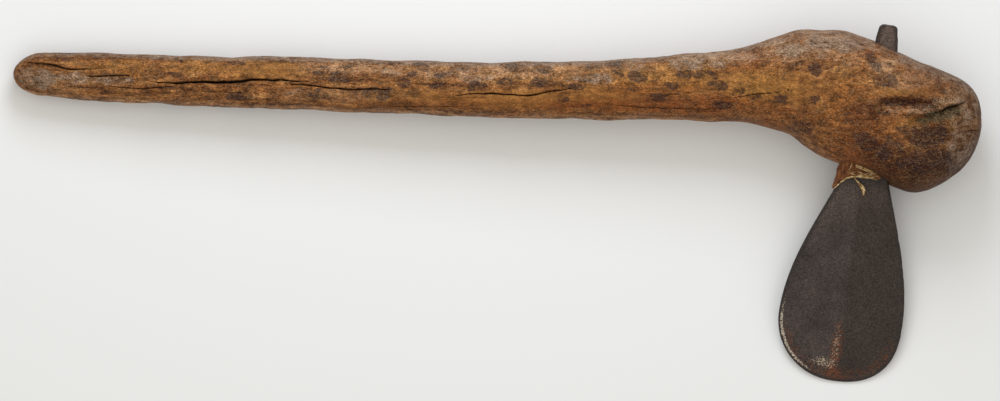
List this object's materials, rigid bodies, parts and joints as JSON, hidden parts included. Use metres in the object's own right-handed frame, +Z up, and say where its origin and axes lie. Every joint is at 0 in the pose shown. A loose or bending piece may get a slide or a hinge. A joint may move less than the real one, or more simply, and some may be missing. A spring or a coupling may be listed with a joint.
{
  "type": "axe with a wooden haft and a tanged iron blade",
  "caption": "Axe with a club-headed wooden haft; a teardrop iron blade's tang runs through the head, packed with hide and straw. It lies on its side.",
  "frame": {"origin": "on the table under the middle of the axe's box, as it lies on its side", "axes": "+X along the haft towards the head, +Z up from the table, and the blade points along -Y"},
  "size_m": [0.6498, 0.24, 0.0752],
  "materials": {
    "haft_wood": "old oiled and handled root wood, hewn, with drying cracks",
    "blade_iron": "hand-forged iron with a dark brown patina and light rust",
    "packing_hide": "dry reddish-brown hide",
    "straw": "dry golden straw"
  },
  "bodies": {
    "root": {"haft": "haft_wood", "blade": "blade_iron", "hide_packing": "packing_hide", "straw_along_hem": "straw", "straw_in_mouth": "straw", "straw_sliver": "straw", "straw_curl": "straw"}
  },
  "joints": []
}
